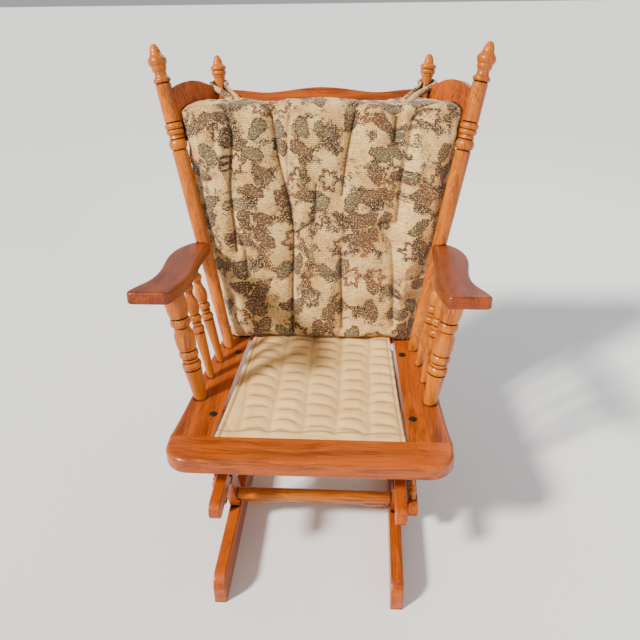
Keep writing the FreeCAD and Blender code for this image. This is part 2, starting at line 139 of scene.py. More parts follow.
# %% Grain of the maple
# each set of fibres: mm across, mm along, detail and roughness of the noise
FIBRES = {"streaks": (3.2, 90, 4.0, 0.62), "bands": (22, 420, 2.0, 0.5), "pores": (0.9, 9, 1.0, 0.5)}


def maple_grain(tree, place, along):
    """The fibre patterns of a board whose grain runs along one axis: 0, 1 or 2."""
    wander = add(tree, "TexNoise", {"Vector": place, "Scale": 5.0, "Detail": 1.0})
    shifted = add(tree, "VectorMath", {0: wander.outputs["Color"], 1: (0.03, 0.03, 0.03)},
                  operation="MULTIPLY").outputs[0]
    bent = add(tree, "VectorMath", {0: place, 1: shifted}, operation="ADD").outputs[0]
    fibres = {}
    for part, (across_mm, along_mm, detail, rough) in FIBRES.items():
        scale = [1000 / across_mm] * 3
        scale[along] = 1000 / along_mm
        spread = add(tree, "Mapping", {"Vector": bent, "Scale": scale}).outputs[0]
        fibres[part] = add(tree, "TexNoise", {
            "Vector": spread, "Scale": 1.0, "Detail": detail, "Roughness": rough}).outputs["Fac"]
    return fibres


print("fibre patterns", list(FIBRES))

# %% [markdown]
# ## Stained maple
# The maker stained the maple honey brown and sprayed a semi-gloss lacquer, so the eye sees three things:
# the streaks of the grain, soft blotches where the stain soaked in unevenly, and painted shade in the
# turned grooves and joints. The painted shade reads ambient occlusion over 9 mm, which finds narrow
# hollows whatever their shape. Lacquer has the IOR of most varnishes, 1.5; its reflection is held back a
# little, because years of hands and cloths have dulled it.

# %% Stained maple
GROOVE_SHADE_REACH = 0.009


def stained_maple(name, along, pale, middle, deep, groove_shade, shine):
    """Honey-stained maple whose grain runs along one axis: 0, 1 or 2."""
    material, tree, shader = start_finish(
        name, Roughness=0.36, IOR=1.5, Coat_Weight=shine, Coat_Roughness=0.16, Coat_IOR=1.5,
        Specular_IOR_Level=0.32)
    place = add(tree, "TexCoord").outputs["Object"]
    fibres = maple_grain(tree, place, along)
    figure = add(tree, "Math", {0: fibres["streaks"], 1: 0.55}, operation="MULTIPLY").outputs[0]
    figure = add(tree, "Math", {0: fibres["bands"], 1: 0.45, 2: figure},
                 operation="MULTIPLY_ADD").outputs[0]
    shade = add(tree, "MapRange", {0: figure, 1: 0.36, 2: 0.60}, **SMOOTH).outputs[0]
    colour = add(tree, "Mix", {0: shade, 6: linear(deep), 7: linear(pale)}, **COLOUR).outputs[2]
    blotches = add(tree, "TexNoise", {"Vector": place, "Scale": 11.0, "Detail": 2.0}).outputs["Fac"]
    soaked = add(tree, "MapRange", {0: blotches, 1: 0.35, 2: 0.68, 3: 0.05, 4: 0.60}, **SMOOTH).outputs[0]
    colour = add(tree, "Mix", {0: soaked, 6: colour, 7: linear(middle)}, **COLOUR).outputs[2]
    dots = add(tree, "MapRange", {0: fibres["pores"], 1: 0.58, 2: 0.70, 4: 0.45}, **SMOOTH).outputs[0]
    colour = add(tree, "Mix", {0: dots, 6: colour, 7: linear(deep)}, **COLOUR).outputs[2]
    # painted shade: ambient occlusion darkens the grooves and joints towards the darkest colour of the set
    groove_occlusion = add(tree, "AmbientOcclusion", {"Distance": GROOVE_SHADE_REACH}, samples=8).outputs["AO"]
    painted_groove_shade = add(tree, "MapRange", {0: groove_occlusion, 1: 0.52, 2: 0.86, 3: 1.0, 4: 0.0}, **SMOOTH).outputs[0]
    colour = add(tree, "Mix", {0: painted_groove_shade, 6: colour, 7: linear(groove_shade)}, **COLOUR).outputs[2]
    tree.links.new(colour, shader.inputs["Base Color"])
    rough = add(tree, "MapRange", {0: fibres["streaks"], 1: 0.3, 2: 0.7, 3: 0.30, 4: 0.44}, **SMOOTH)
    tree.links.new(rough.outputs[0], shader.inputs["Roughness"])
    bump = add(tree, "Bump", {"Height": figure, "Strength": 0.35, "Distance": 0.0003})
    tree.links.new(bump.outputs[0], shader.inputs["Normal"])
    return material


print("grooves darken within", GROOVE_SHADE_REACH * 1000, "mm")

# %% [markdown]
# ## Boards, turnings and arms
# The same stain looks different on each kind of part. Sawn boards are a redder brown; turned posts show
# more open side grain and take a lighter, more golden tone with more shine; the arms are darker. The
# grain of a part runs along its length, so the finish is built once for each direction.

# %% Boards, turnings and arms
# the last colour of each set is the painted shade in the grooves and joints
board_colours = dict(pale="BC560A", middle="9E4406", deep="6A2C04", groove_shade="1E0A02", shine=0.22)
turned_colours = dict(pale="D2720A", middle="B25A08", deep="7E3802", groove_shade="1C0A02", shine=0.24)
# the arms get a darker colour than the boards
arm_colours = dict(pale="9A420A", middle="803406", deep="541E04", groove_shade="1E0A02", shine=0.22)
boards = [stained_maple("maple boards along " + "xyz"[i], i, **board_colours) for i in range(3)]
turnings = [stained_maple("turned maple along " + "xyz"[i], i, **turned_colours) for i in range(3)]
arm_finish = stained_maple("maple arms, darker", 1, **arm_colours)
print("maple finishes", [m.name for m in boards + turnings + [arm_finish]])

# %% [markdown]
# ## Metals
# The links are flat mild steel painted satin black, the pivots are black oxide steel, the domed bolt
# heads are enamelled black, and the zigzag springs are plain drawn wire. Painted steel is a dielectric
# coat, so its metallic value is 0; the bare wire is metallic and keeps the default IOR. A little noise in
# the roughness stands for finger marks and rubbed edges.

# %% Metals
def hard_finish(name, colour, worn, rough, metallic, spot_mm):
    """Painted or bare metal with worn, patchy gloss."""
    material, tree, shader = start_finish(name, Metallic=metallic)
    place = add(tree, "TexCoord").outputs["Object"]
    spots = add(tree, "TexNoise", {
        "Vector": place, "Scale": 1000 / spot_mm, "Detail": 3.0, "Roughness": 0.6}).outputs["Fac"]
    rubbed = add(tree, "MapRange", {0: spots, 1: 0.45, 2: 0.75}, **SMOOTH).outputs[0]
    paint = add(tree, "Mix", {0: rubbed, 6: linear(colour), 7: linear(worn)}, **COLOUR).outputs[2]
    tree.links.new(paint, shader.inputs["Base Color"])
    gloss = add(tree, "MapRange", {0: spots, 1: 0.3, 2: 0.7, 3: rough - 0.08, 4: rough + 0.10}, **SMOOTH)
    tree.links.new(gloss.outputs[0], shader.inputs["Roughness"])
    bump = add(tree, "Bump", {"Height": spots, "Strength": 0.2, "Distance": 0.0002})
    tree.links.new(bump.outputs[0], shader.inputs["Normal"])
    return material


link_paint = hard_finish("black painted link steel", "1C1A18", "2E2925", 0.42, 0.0, 6)
pivot_oxide = hard_finish("black oxide pivot steel", "26221F", "4A4038", 0.38, 0.6, 5)
bolt_enamel = hard_finish("black enamelled bolt head", "0F0E0D", "1E1B19", 0.28, 0.0, 4)
spring_wire = hard_finish("drawn spring wire", "8B8A86", "6A645C", 0.34, 1.0, 3)
print("metal finishes", link_paint.name, pivot_oxide.name, bolt_enamel.name, spring_wire.name)

# %% [markdown]
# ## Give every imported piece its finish
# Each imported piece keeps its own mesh. Only its material slot changes. The table says along which axis
# the wood of a piece was cut: the long way of the board, or the axis of the lathe.

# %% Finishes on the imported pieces
ALONG_X = ("seat_front", "seat_rear", "crest_rail", "stretcher_")
ALONG_Y = ("seat_side", "foot_", "base_rail", "carriage_rail")
TURNED = ("arm_post", "arm_spindle", "back_post", "back_spindle", "riser", "stretcher", "wing_post")
SOFT = ("back_cushion", "cushion_tie", "deck_fabric")


def finish_for(name):
    """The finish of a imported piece, by its name."""
    for start, metal in (("link", link_paint), ("seat_bolts", bolt_enamel), ("spring", spring_wire)):
        if name.startswith(start):
            return metal
    if name.endswith("pivot_bolts"):
        return pivot_oxide
    if name in ("arm_left", "arm_right"):
        return arm_finish
    along = 0 if name.startswith(ALONG_X) else 1 if name.startswith(ALONG_Y) else 2
    return (turnings if name.startswith(TURNED) else boards)[along]


hard_pieces = [name for name in cad if not name.startswith(SOFT)]
for name in hard_pieces:
    for slot in cad[name].material_slots:
        slot.material = finish_for(name)
print("pieces finished", len(hard_pieces))

# %% [markdown]
# ## Where the neighbours of the cushion are
# The cushion leans on the five back spindles and sits between the four tall posts. A stuffed thing is
# flat where it rests on something, so it has to know where those are. The posts are straight, so each
# one is a line between the middle of its foot and the middle of its tip, with a radius.

# %% Post lines
WING_POST_RADIUS, BACK_POST_RADIUS = 0.0190, 0.0155


def post_line(name, radius):
    """The axis of a leaning post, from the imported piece's box, with its radius there."""
    low, high = (Vector(corner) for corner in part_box(name))
    out = 1 if low.x + high.x > 0 else -1
    inner, outer = sorted((low.x, high.x), key=abs)
    return Vector((inner + out * radius, low.y + radius, low.z)), \
        Vector((outer - out * radius, high.y - radius, high.z)), radius


posts = [post_line("wing_post_" + side, WING_POST_RADIUS) for side in ("left", "right")]
posts += [post_line("back_post_" + side, BACK_POST_RADIUS) for side in ("left", "right")]
spindle_low, spindle_high = (Vector(corner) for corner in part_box("back_spindle_3"))
seat_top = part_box("seat_side_left")[1][2]
print("seat boards top", round(seat_top, 4), "wing post foot", [round(v, 3) for v in posts[1][0]])

# %% [markdown]
# ## Keep the cloth out of the wood
# A collision in the simulation would do this too, but it is slow and can leave the cloth trembling.
# Moving a point straight out of a post, off the spindles or up from the seat boards is exact, quick, and
# leaves the flat places that a pressed cushion has.

# %% Keep clear
SPINDLE_WIDE = 0.0150
SEAT_GAP = 0.0006


def keep_clear(point, gap=0.0015):
    """Moves a cushion point out of the posts, off the spindles and up from the seat boards."""
    for foot, tip, radius in posts:
        share = (point.z - foot.z) / (tip.z - foot.z)
        middle = foot.lerp(tip, share)
        away = Vector((point.x - middle.x, point.y - middle.y, 0))
        if away.length < radius + gap:
            away.length = radius + gap
            point = Vector((middle.x + away.x, middle.y + away.y, point.z))
    share = (point.z - spindle_low.z) / (spindle_high.z - spindle_low.z)
    lean = spindle_high.y - SPINDLE_WIDE - spindle_low.y
    point.y = min(point.y, spindle_low.y + lean * share - gap)
    point.z = max(point.z, seat_top + SEAT_GAP)
    return point


print("spindles run from y", round(spindle_low.y, 3), "to", round(spindle_high.y, 3))

# %% [markdown]
# ## Helpers for working on one piece
# Many of Blender's operators work on whatever is selected. So before each one everything is deselected
# and the one piece is made active, or an operator could change its neighbours as well.

# %% Work on one piece
def only(piece):
    """Deselects everything and makes one piece the active one."""
    bpy.ops.object.select_all(action="DESELECT")
    piece.select_set(True)
    bpy.context.view_layer.objects.active = piece
    return piece


def apply_modifier(piece, kind, **settings):
    """Adds a modifier, sets it and applies it."""
    only(piece)
    made = piece.modifiers.new(kind.lower(), kind)
    for name, value in settings.items():
        setattr(made, name, value)
    bpy.ops.object.modifier_apply(modifier=made.name)


def triangles(piece):
    """How many triangles a piece has."""
    return sum(len(face.vertices) - 2 for face in piece.data.polygons)


print("packed cushion", triangles(cad["back_cushion"]), "triangles")

# %% [markdown]
# ## Back cushion: a thin start
# The real cushion is a sewn tapestry bag filled with soft fibre. It could be sculpted, but a stuffed bag
# is easiest to make as one: start thin and blow it up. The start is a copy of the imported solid, covered
# with small even faces (a remesh) so that it can swell evenly. Its front and back move in by 13 mm, and
# its sides move out by 11 mm, so that they reach the posts.

# %% Cushion: a thinner copy with even faces
FACE_SIZE, FRONT_IN, SIDE_OUT = 0.006, 0.013, 0.011
cushion = bpy.data.objects.new("back_cushion_cloth", cad["back_cushion"].data.copy())
scene.collection.objects.link(cushion)
only(cushion)
bpy.ops.object.mode_set(mode="EDIT")
bpy.ops.mesh.select_all(action="SELECT")
bpy.ops.mesh.remove_doubles(threshold=0.00002)
bpy.ops.object.mode_set(mode="OBJECT")
apply_modifier(cushion, "REMESH", mode="VOXEL", voxel_size=FACE_SIZE)
apply_modifier(cushion, "SMOOTH", factor=0.5, iterations=10)
start_normals = [vertex.normal.copy() for vertex in cushion.data.vertices]
for vertex, normal in zip(cushion.data.vertices, start_normals):
    vertex.co += Vector((normal.x * SIDE_OUT, -normal.y * FRONT_IN, 0.0))
print("cushion start", triangles(cushion), "triangles")

# %% [markdown]
# ## Back cushion: blow it up
# The cloth simulation fills the bag like a balloon, with gravity off.

# %% Cushion: blow it up
PRESSURE, STEPS = 4.0, 20
start_points = [vertex.co.copy() for vertex in cushion.data.vertices]
only(cushion)
bag = cushion.modifiers.new("bag", "CLOTH")
bag.settings.use_pressure = True
bag.settings.uniform_pressure_force = PRESSURE
bag.settings.effector_weights.gravity = 0.0
bag.settings.quality = 5
bag.settings.tension_stiffness = bag.settings.compression_stiffness = 15
bag.settings.bending_stiffness = 0.5
bag.settings.shrink_min = -0.05
bag.collision_settings.use_collision = False
for step in range(1, STEPS + 1):
    scene.frame_set(step)
bpy.ops.object.modifier_apply(modifier=bag.name)
scene.frame_set(1)
print("cushion is one mesh with", len(cushion.modifiers), "modifiers left")

# %% [markdown]
# ## Back cushion: cap the movement
# A balloon also draws its edges in, which stuffing does not do. So the movement is capped: up to 24 mm
# thicker, but only 3 mm in width and height. Then each face is split in four, to hold the creases that
# come next.

# %% Cushion: cap the movement
THICKER, WIDER = 0.024, 0.003
moved = 0.0
for vertex, start in zip(cushion.data.vertices, start_points):
    shift = vertex.co - start
    shift = Vector(max(-cap, min(cap, part)) for cap, part in zip((WIDER, THICKER, WIDER), shift))
    moved = max(moved, shift.length)
    vertex.co = keep_clear(start + shift)
apply_modifier(cushion, "SUBSURF", levels=1, render_levels=1)
print("cushion swelled by up to", round(moved * 1000, 1), "mm;", triangles(cushion), "triangles")

# %% [markdown]
# ## Sewn channels: where they run
# Rows of stitches run down the cushion and pull its front in. Each channel is a line on the front of the
# cushion, from the top down. They could be cut into the mesh as edges, but then each would need its own
# faces; a distance to a line works on any mesh.

# %% Sewn channels: where they run
# each channel: depth in mm, then its points (x, z) from the top down, in metres
CHANNELS = [
    (17, [(-0.119, 0.935), (-0.102, 0.807), (-0.077, 0.701), (-0.069, 0.634), (-0.074, 0.500),
          (-0.078, 0.369)]),
    (8, [(-0.069, 0.920), (-0.079, 0.864), (-0.082, 0.749)]),
    (15, [(0.084, 0.925), (0.062, 0.807), (0.053, 0.726)]),
    (12, [(-0.010, 0.750), (-0.014, 0.665), (-0.066, 0.628)]),
    (13, [(0.051, 0.592), (0.055, 0.378)]),
    (17, [(0.182, 0.920), (0.178, 0.858), (0.197, 0.813), (0.184, 0.661)]),
    (13, [(0.184, 0.661), (0.144, 0.654), (0.173, 0.605), (0.182, 0.518), (0.184, 0.390)]),
    (15, [(-0.230, 0.942), (-0.209, 0.875), (-0.219, 0.748), (-0.214, 0.651), (-0.211, 0.589)]),
    (10, [(-0.208, 0.639), (-0.189, 0.589), (-0.188, 0.526)]),
    (12, [(0.232, 0.940), (0.211, 0.886), (0.202, 0.819), (0.185, 0.714)]),
    (7, [(-0.195, 0.505), (-0.075, 0.512), (0.050, 0.520), (0.180, 0.515), (0.262, 0.520)])]


def off_line(x, z, line):
    """Distance from (x, z) to a line of points, and how far along it that is."""
    best, along, run = 1.0, 0.0, 0.0
    for (x0, z0), (x1, z1) in zip(line, line[1:]):
        dx, dz = x1 - x0, z1 - z0
        length = math.hypot(dx, dz)
        t = min(1.0, max(0.0, ((x - x0) * dx + (z - z0) * dz) / (length * length)))
        gap = math.hypot(x - x0 - t * dx, z - z0 - t * dz)
        if gap < best:
            best, along = gap, run + t * length
        run += length
    return best, along


print(len(CHANNELS), "sewn lines")

# %% [markdown]
# ## Sewn channels: how deep
# Near a line the surface sinks by up to 20 mm: softly over 18 mm, which leaves the full, rounded pipes
# between the channels, and steeply in the last 6 mm at the stitches. Small puckers, 19 mm apart, run
# away from the stitches. How near a point is to a seam is kept as well, for the painted shade there.

# %% Sewn channels: how deep
SOFT_REACH, TIGHT_REACH, SEAM_REACH, PUCKER_STEP = 0.018, 0.0060, 0.0045, 0.019
NO_PULL_BEYOND = 0.075


def sink(x, z):
    """How deep the channels pull the front in at a point, in metres, and how near a seam it is."""
    deepest, seam = 0.0, 0.0
    for depth, line in CHANNELS:
        gap, along = off_line(x, z, line)
        if gap < NO_PULL_BEYOND:
            pucker = 1 + 0.35 * math.sin(along * 2 * math.pi / PUCKER_STEP + 3 * math.sin(along * 31))
            soft = math.exp(-gap / SOFT_REACH)
            tight = 0.5 * math.exp(-(gap / TIGHT_REACH) ** 2)
            ripple = 0.12 * pucker * math.exp(-((gap - 0.013) / 0.009) ** 2)
            deepest = max(deepest, depth / 1000 * (soft + tight + ripple))
            seam = max(seam, min(1.0, depth / 14) * math.exp(-(gap / SEAM_REACH) ** 2))
    return deepest, seam


print("sinks", [round(sink(x, 0.60)[0] * 1000, 1) for x in (-0.2, -0.1, 0.0, 0.1, 0.2)], "mm at z 0.60")

# %% [markdown]
# ## Sewn channels: pull them in
# The channels only pull on faces that look forward. Two noises, of about 45 mm and 17 mm, stand for
# lumps in the filling.

# %% Sewn channels: pull them in
facing = [vertex.normal.copy() for vertex in cushion.data.vertices]
# the stored seam value is painted shade along the sewn channels
seams = cushion.data.attributes.new("seam", "FLOAT", "POINT")
for index, (vertex, normal) in enumerate(zip(cushion.data.vertices, facing)):
    front = min(1.0, max(0.0, (-normal.y + 0.25) / 0.6))
    point = vertex.co
    lumps = noise.noise(point * 22) * 0.0030 + noise.noise(point * 60) * 0.0010
    deepest, seam = sink(point.x, point.z) if front else (0.0, 0.0)
    seams.data[index].value = seam * front
    vertex.co = keep_clear(point + normal * (lumps - deepest * front))
cushion.data.update()
only(cushion)
bpy.ops.object.shade_smooth()
print("cushion box", [[round(v, 3) for v in corner] for corner in zip(*[
    (min(c), max(c)) for c in zip(*[vertex.co for vertex in cushion.data.vertices])])])

# %% [markdown]
# ## Cloth coordinates
# A woven pattern follows the cloth round the cushion's edges. Projecting it straight from the front
# would smear it over the sides, and unwrapping would cut it into islands. So each point stores its own
# place on the cloth: x and height, plus the distance it lies behind the front, which keeps the pattern
# moving over the sides and the top.

# %% Cloth coordinates
BACK_SHARE = 0.8


def cushion_place(point):
    """Where a point of the cushion lies on its cloth."""
    behind = point.y - (0.16 + 0.17 * (point.z - seat_top))
    side = max(-1.0, min(1.0, point.x / 0.20))
    rise = max(0.0, min(1.0, (point.z - 0.80) / 0.12))
    return (point.x + BACK_SHARE * behind * side, point.z + BACK_SHARE * behind * rise, 0.0)


cloth_places = cushion.data.attributes.new("cloth", "FLOAT_VECTOR", "POINT")
for index, vertex in enumerate(cushion.data.vertices):
    cloth_places.data[index].vector = cushion_place(vertex.co)
print("cloth places stored on", len(cushion.data.vertices), "points")

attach(cushion, "seat")
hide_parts("back_cushion")
print("cushion stands for", "back_cushion")

# %% [markdown]
# ## Tapestry: yarn and noises
# The cover is a chenille tapestry: cotton in a thick, fluffy weave, dull and a little fuzzy, so it gets
# a high roughness and some sheen. Its yarn is about 1 mm thick, too fine to show, so the specks of the
# yarn are drawn 2.6 to 4 mm wide. The table gives the size of every noise that lies straight on the
# cloth. A wobble of up to 14 mm bends the coordinates of the motifs, so none is a plain ellipse.

# %% Tapestry: yarn and noises
tapestry_cloth, tree, shader = start_finish(
    "chenille tapestry", Roughness=0.92, Sheen_Weight=0.25, Sheen_Roughness=0.5,
    Specular_IOR_Level=0.25)
place = add(tree, "Attribute", attribute_name="cloth").outputs["Vector"]
# each noise: mm wide, detail, roughness
YARN_NOISES = {"yarn": (2.6, 1.0, 0.8), "stipple": (3.6, 2.0, 0.7), "loops": (4.0, 1.0, 0.7),
               "wobble": (26, 2.0, 0.6), "rust": (48, 1.0, 0.6), "faded": (60, 2.0, 0.6),
               "green": (75, 1.0, 0.6)}
woven = {}
for part, (mm, detail, rough) in YARN_NOISES.items():
    woven[part] = add(tree, "TexNoise", {
        "Vector": place, "Scale": 1000 / mm, "Detail": detail, "Roughness": rough}, noise_dimensions="2D")
bend = add(tree, "VectorMath", {0: woven["wobble"].outputs["Color"], 1: (0.014, 0.014, 0.0)},
           operation="MULTIPLY").outputs[0]
loose = add(tree, "VectorMath", {0: place, 1: bend}, operation="ADD").outputs[0]
woven = {part: made.outputs["Fac"] for part, made in woven.items()}
print("tapestry noises", list(woven))

# %% [markdown]
# ## Tapestry: cream ground and dusky clusters
# The ground is cream, a little faded in places. Loose clusters of brown, olive and a little rust lie on
# it. They are grown from one noise, and the yarn's own specks are added before its edge is cut, so the
# edge is fluffy. "Cover" says how much of the ground the motif yarn hides.

# %% Tapestry: ground and clusters
faded = add(tree, "MapRange", {0: woven["faded"], 1: 0.35, 2: 0.65}, **SMOOTH).outputs[0]
ground = add(tree, "Mix", {0: faded, 6: linear("F6CC84"), 7: linear("E2B068")}, **COLOUR).outputs[2]
green = add(tree, "MapRange", {0: woven["green"], 1: 0.42, 2: 0.56}, **SMOOTH).outputs[0]
motifs = add(tree, "Mix", {0: green, 6: linear("6B4A32"), 7: linear("5E4E34")}, **COLOUR).outputs[2]
rust = add(tree, "MapRange", {0: woven["rust"], 1: 0.64, 2: 0.72}, **SMOOTH).outputs[0]
motifs = add(tree, "Mix", {0: rust, 6: motifs, 7: linear("8E4E2C")}, **COLOUR).outputs[2]
clusters = add(tree, "TexNoise", {"Vector": loose, "Scale": 1000 / 58, "Detail": 5.0,
                                  "Roughness": 0.62}, noise_dimensions="2D").outputs["Fac"]
edges = [add(tree, "Math", {0: woven["yarn"], 1: fluff, 2: clusters}, operation="MULTIPLY_ADD").outputs[0]
         for fluff in (0.12, 0.20)]
grown = add(tree, "MapRange", {0: edges[0], 1: 0.555, 2: 0.645}, **SMOOTH).outputs[0]
deep = add(tree, "MapRange", {0: edges[1], 1: 0.68, 2: 0.76}, **SMOOTH).outputs[0]
motifs = add(tree, "Mix", {0: deep, 6: motifs, 7: linear("34231A")}, **COLOUR).outputs[2]
cover = add(tree, "Math", {0: grown, 1: 0.84}, operation="MULTIPLY").outputs[0]
print("nodes after the clusters", len(tree.nodes))

# %% [markdown]
# ## Tapestry: scattered motifs
# Painting leaves and flowers one by one would be slow. A cell pattern gives each motif its own place and
# its own random numbers: one turns it, one chooses its colour. The distance from the middle of its cell,
# squeezed in one direction, is the shape of a leaf.

# %% Tapestry: scattered motifs
FULL_TURN = 6.283


def scattered(cell_mm, wide_mm, long_mm, shift):
    """For each motif: the distance from its middle, a random number, and the place within it."""
    moved = add(tree, "VectorMath", {0: loose, 1: shift}, operation="ADD").outputs[0]
    cells = add(tree, "TexVoronoi", {"Vector": moved, "Scale": 1000 / cell_mm, "Randomness": 0.85},
                voronoi_dimensions="2D")
    local = add(tree, "VectorMath", {0: moved, 1: cells.outputs["Position"]},
                operation="SUBTRACT").outputs[0]
    luck = add(tree, "SeparateColor", {0: cells.outputs["Color"]})
    turn = add(tree, "Math", {0: luck.outputs[0], 1: FULL_TURN}, operation="MULTIPLY").outputs[0]
    turned = add(tree, "VectorRotate", {"Vector": local, "Angle": turn}, rotation_type="Z_AXIS")
    squeezed = add(tree, "VectorMath", {0: turned.outputs[0], 1: (1000 / wide_mm, 1000 / long_mm, 0.0)},
                   operation="MULTIPLY").outputs[0]
    reach = add(tree, "VectorMath", {0: squeezed}, operation="LENGTH").outputs["Value"]
    return reach, luck.outputs[1], squeezed


leaf, leaf_luck, _ = scattered(58, 15, 29, (0.0, 0.0, 0.0))
bloom, bloom_luck, petal_place = scattered(104, 25, 25, (0.31, 0.17, 0.0))
print("leaves 30 x 58 mm in cells of 58 mm, flowers 50 mm wide in cells of 104 mm")

# %% [markdown]
# ## Tapestry: leaves
# A leaf is olive or taupe, with a dark outline of loose yarn. Three cells in ten have no leaf.

# %% Tapestry: leaves
leaf_edge = add(tree, "Math", {0: woven["yarn"], 1: 0.30, 2: leaf}, operation="MULTIPLY_ADD").outputs[0]
leaf_body = add(tree, "MapRange", {0: leaf_edge, 1: 1.00, 2: 1.14, 3: 1.0, 4: 0.0}, **SMOOTH).outputs[0]
leaf_rim = add(tree, "MapRange", {0: leaf_edge, 1: 1.16, 2: 1.34, 3: 1.0, 4: 0.0}, **SMOOTH).outputs[0]
leaf_kind = add(tree, "MapRange", {0: leaf_luck, 1: 0.45, 2: 0.55}, **SMOOTH).outputs[0]
leaf_colour = add(tree, "Mix", {0: leaf_kind, 6: linear("6C6044"), 7: linear("684C34")},
                  **COLOUR).outputs[2]
motifs = add(tree, "Mix", {0: leaf_rim, 6: motifs, 7: linear("3E2A1C")}, **COLOUR).outputs[2]
motifs = add(tree, "Mix", {0: leaf_body, 6: motifs, 7: leaf_colour}, **COLOUR).outputs[2]
covers = [add(tree, "Math", {0: mask, 1: share}, operation="MULTIPLY").outputs[0]
          for mask, share in ((leaf_body, 0.70), (leaf_rim, 0.88))]
leaves = add(tree, "Math", {0: covers[0], 1: covers[1]}, operation="MAXIMUM").outputs[0]
leaf_here = add(tree, "MapRange", {0: leaf_luck, 1: 0.28, 2: 0.32}, **SMOOTH).outputs[0]
leaves = add(tree, "Math", {0: leaves, 1: leaf_here}, operation="MULTIPLY").outputs[0]
cover = add(tree, "Math", {0: cover, 1: leaves}, operation="MAXIMUM").outputs[0]
print("nodes after the leaves", len(tree.nodes))

# %% [markdown]
# ## Tapestry: flowers
# A flower is a ring whose radius swells six times round its middle, which makes six petals.

# %% Tapestry: flowers
parts = add(tree, "SeparateXYZ", {0: petal_place})
angle = add(tree, "Math", {0: parts.outputs[1], 1: parts.outputs[0]}, operation="ARCTAN2").outputs[0]
petals = add(tree, "Math", {0: angle, 1: 6.0}, operation="MULTIPLY").outputs[0]
petals = add(tree, "Math", {0: petals}, operation="SINE").outputs[0]
reach = add(tree, "Math", {0: petals, 1: 0.16, 2: bloom}, operation="MULTIPLY_ADD").outputs[0]
petal_edge = add(tree, "Math", {0: woven["yarn"], 1: 0.5, 2: reach}, operation="MULTIPLY_ADD").outputs[0]
ring = add(tree, "Math", {0: petal_edge, 1: 1.05}, operation="SUBTRACT").outputs[0]
ring = add(tree, "Math", {0: ring}, operation="ABSOLUTE").outputs[0]
ring = add(tree, "MapRange", {0: ring, 1: 0.10, 2: 0.34, 3: 1.0, 4: 0.0}, **SMOOTH).outputs[0]
petal_kind = add(tree, "MapRange", {0: bloom_luck, 1: 0.55, 2: 0.6}, **SMOOTH).outputs[0]
petal_colour = add(tree, "Mix", {0: petal_kind, 6: linear("54392A"), 7: linear("7A4A30")},
                   **COLOUR).outputs[2]
motifs = add(tree, "Mix", {0: ring, 6: motifs, 7: petal_colour}, **COLOUR).outputs[2]
ring_cover = add(tree, "Math", {0: ring, 1: 0.90}, operation="MULTIPLY").outputs[0]
cover = add(tree, "Math", {0: cover, 1: ring_cover}, operation="MAXIMUM").outputs[0]
print("nodes after the flowers", len(tree.nodes))

# %% [markdown]
# ## Tapestry: weave it together
# The motif yarn shows only where its cover beats a stipple of yarn specks, which is how two yarns mix in
# a real weave. Shadows between the yarn loops and in the sewn seams darken the cloth. Ribs 2.4 mm apart
# and the specks of the yarn lift its surface.

# %% Tapestry: weave it together
RIB_MM = 2.4
YARN_SHADOW = (0.030, 0.018, 0.010, 1.0)
stipple = add(tree, "MapRange", {0: woven["stipple"], 1: 0.31, 2: 0.69}, **SMOOTH).outputs[0]
shown = add(tree, "Math", {0: cover, 1: stipple}, operation="SUBTRACT").outputs[0]
shown = add(tree, "MapRange", {0: shown, 1: -0.16, 2: 0.16}, **SMOOTH).outputs[0]
colour = add(tree, "Mix", {0: shown, 6: ground, 7: motifs}, **COLOUR).outputs[2]
between = add(tree, "MapRange", {0: woven["loops"], 1: 0.44, 2: 0.66, 4: 0.38}, **SMOOTH).outputs[0]
# painted shade: the yarn loops and the sewn seams are darkened towards YARN_SHADOW
seam_near = add(tree, "Attribute", attribute_name="seam").outputs["Fac"]
painted_seam_shade = add(tree, "MapRange", {0: seam_near, 1: 0.15, 2: 1.0, 4: 0.55}, **SMOOTH).outputs[0]
for shade in (between, painted_seam_shade):
    colour = add(tree, "Mix", {0: shade, 6: colour, 7: YARN_SHADOW}, **COLOUR).outputs[2]
tree.links.new(colour, shader.inputs["Base Color"])
ribs = add(tree, "TexWave", {"Vector": place, "Scale": 1000 / RIB_MM / FULL_TURN, "Distortion": 1.5,
                             "Detail": 1.0, "Detail Scale": 3.0}, bands_direction="Y").outputs["Fac"]
pile = add(tree, "Math", {0: woven["yarn"], 1: 1.6, 2: ribs}, operation="MULTIPLY_ADD").outputs[0]
bump = add(tree, "Bump", {"Height": pile, "Strength": 0.7, "Distance": 0.0016})
tree.links.new(bump.outputs[0], shader.inputs["Normal"])
cushion.data.materials.clear()
cushion.data.materials.append(tapestry_cloth)
print("tapestry nodes", len(tree.nodes))

# %% [markdown]
# ## Cushion ties: a smooth path
# Two narrow tubes of the same cloth leave the top seam of the cushion, go round the neck of each rear
# post under its finial, and come back to the same place, so they make a V in front of the post. The
# remesh of a simulation would swallow so thin a strip, so each tie is swept along a smooth closed path.
# A Catmull-Rom line passes through every corner it is given, which makes it easy to lay round a post.

# %% Cushion ties: a smooth path
def smooth_path(corners, steps):
    """A smooth line through the corners (Catmull-Rom), with even steps between them."""
    line = []
    ends = [corners[0] * 2 - corners[1]] + corners + [corners[-1] * 2 - corners[-2]]
    for a, b, c, d in zip(ends, ends[1:], ends[2:], ends[3:]):
        for step in range(steps):
            t = step / steps
            line.append(0.5 * ((2 * b) + (c - a) * t + (2 * a - 5 * b + 4 * c - d) * t * t
                               + (3 * b - a - 3 * c + d) * t * t * t))
    return line + [corners[-1]]


print("a path through 2 corners has", len(smooth_path([Vector(), Vector((1, 0, 0))], 4)), "points")

# %% [markdown]
# ## Cushion ties: a tube of cloth
# The section is flattened, and noise makes it a little uneven, as a sewn and turned strip is. Each point
# also stores its place on the cloth, so that the yarn runs along the tie.

# %% Cushion ties: a tube of cloth
RING = 14


